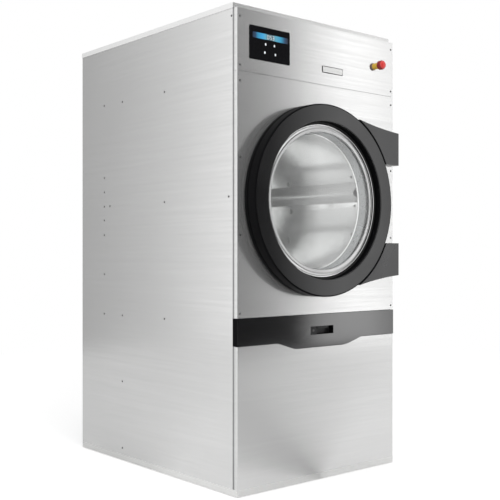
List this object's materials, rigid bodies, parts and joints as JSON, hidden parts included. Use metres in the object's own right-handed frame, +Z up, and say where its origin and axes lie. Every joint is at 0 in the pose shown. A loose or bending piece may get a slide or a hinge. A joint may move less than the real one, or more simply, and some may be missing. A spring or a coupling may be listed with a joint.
{
  "type": "vented tumble dryer",
  "caption": "Floor-standing vented tumble dryer: brushed steel cabinet, round glass door in a black ring, lint filter drawer, drum with belt drive, blower, rear exhaust spigot.",
  "frame": {"origin": "on the floor under the middle of the machine's whole box", "axes": "+Z up, -Y out of the front with the door, +X to the right of somebody who faces the machine"},
  "size_m": [0.804, 1.153, 1.685],
  "materials": {
    "brushed_steel": "brushed, horizontal grain",
    "galvanised": "zinc coated sheet",
    "pale_coat": "satin powder coat",
    "black_coat": "satin black coat",
    "black_side": "satin black coat",
    "polished_steel": "polished",
    "drum_steel": "polished stainless sheet",
    "machined_steel": "machined",
    "cast_iron": "rough",
    "aluminium": "cast",
    "black_rubber": "matt",
    "black_plastic": "fine grain",
    "display_black": "gloss",
    "safety_yellow": "gloss",
    "signal_red": "gloss",
    "door_glass": "clear",
    "felt": "pressed wool",
    "motor_paint": "satin"
  },
  "bodies": {
    "cabinet": {"base_frame": "pale_coat", "levelling_feet": "black_rubber", "base_tray": "galvanised", "corner_posts": "galvanised", "top_frame": "galvanised", "side_panel_left": "brushed_steel", "side_panel_right": "brushed_steel", "rear_panel": "galvanised", "top_lid": "pale_coat", "control_panel": "brushed_steel", "door_panel": "brushed_steel", "lower_panel": "brushed_steel", "panel_screws": "machined_steel", "display_glass": "display_black", "control_box": "black_plastic", "badge_plate": "polished_steel", "stop_collar": "safety_yellow", "stop_contacts": "black_plastic", "loading_collar": "drum_steel", "drum_felt_ring": "felt", "plenum_floor": "galvanised", "rear_bulkhead": "galvanised", "hinge_brackets": "machined_steel", "hinge_pins": "machined_steel", "door_magnet": "black_plastic", "bearing_housing": "cast_iron", "drum_bearings": "machined_steel", "drum_belt": "black_rubber", "drum_motor": "motor_paint", "motor_stand": "galvanised", "blower_housing": "galvanised", "blower_motor": "motor_paint", "exhaust_duct": "galvanised", "filter_housing": "galvanised", "air_heater": "galvanised", "intake_grille": "galvanised", "supply_gland": "black_plastic"},
    "door": {"door_ring": "black_coat", "door_back_plate": "black_side", "glass_clamp_ring": "polished_steel", "door_glass": "door_glass", "glass_gasket": "black_rubber", "door_seal": "black_rubber", "hinge_arm_upper": "black_coat", "hinge_arm_lower": "black_coat", "door_keeper": "machined_steel"},
    "drum": {"drum_shell": "drum_steel", "drum_front": "drum_steel", "drum_back_wall": "drum_steel", "drum_lifters": "drum_steel", "drum_shaft": "machined_steel", "drum_pulley": "cast_iron"},
    "motor_rotor": {"motor_pulley": "machined_steel"},
    "blower_rotor": {"blower_wheel": "aluminium"},
    "filter_drawer": {"filter_drawer_front": "black_coat", "lint_tray": "galvanised", "lint_screen": "machined_steel"},
    "filter_lock": {"drawer_lock": "machined_steel"},
    "stop_button": {"stop_plunger": "machined_steel"},
    "stop_cap": {"stop_head": "signal_red"}
  },
  "joints": [
    {"name": "door_hinge", "type": "hinge", "parent": "cabinet", "child": "door", "pos_m": [0.354, -0.5475, 1.02], "axis": [0, 0, 1], "range_deg": [0, 130]},
    {"name": "drum_spin", "type": "hinge", "parent": "cabinet", "child": "drum", "pos_m": [-0.026, 0.0855, 1.02], "axis": [0, 1, 0], "continuous": true},
    {"name": "motor_spin", "type": "hinge", "parent": "cabinet", "child": "motor_rotor", "pos_m": [-0.275, 0.2455, 0.33], "axis": [0, 1, 0], "continuous": true},
    {"name": "blower_spin", "type": "hinge", "parent": "cabinet", "child": "blower_rotor", "pos_m": [-0.035, 0.1655, 0.29], "axis": [0, 1, 0], "continuous": true},
    {"name": "filter_drawer_slide", "type": "slide", "parent": "cabinet", "child": "filter_drawer", "axis": [0, -1, 0], "range_m": [0, 0.38]},
    {"name": "filter_lock_turn", "type": "hinge", "parent": "filter_drawer", "child": "filter_lock", "pos_m": [-0.038, -0.5045, 0.548], "axis": [0, 1, 0], "range_deg": [0, 90]},
    {"name": "stop_push", "type": "slide", "parent": "cabinet", "child": "stop_button", "axis": [0, 1, 0], "range_m": [0, 0.004], "stiffness_N_per_m": 2500},
    {"name": "stop_twist", "type": "hinge", "parent": "stop_button", "child": "stop_cap", "pos_m": [0.278, -0.5595, 1.553], "axis": [0, 1, 0], "range_deg": [0, 30], "stiffness_Nm_per_rad": 0.1}
  ],
  "couplings": [
    {"joint": "motor_spin", "follows": "drum_spin", "ratio": 7.92}
  ]
}
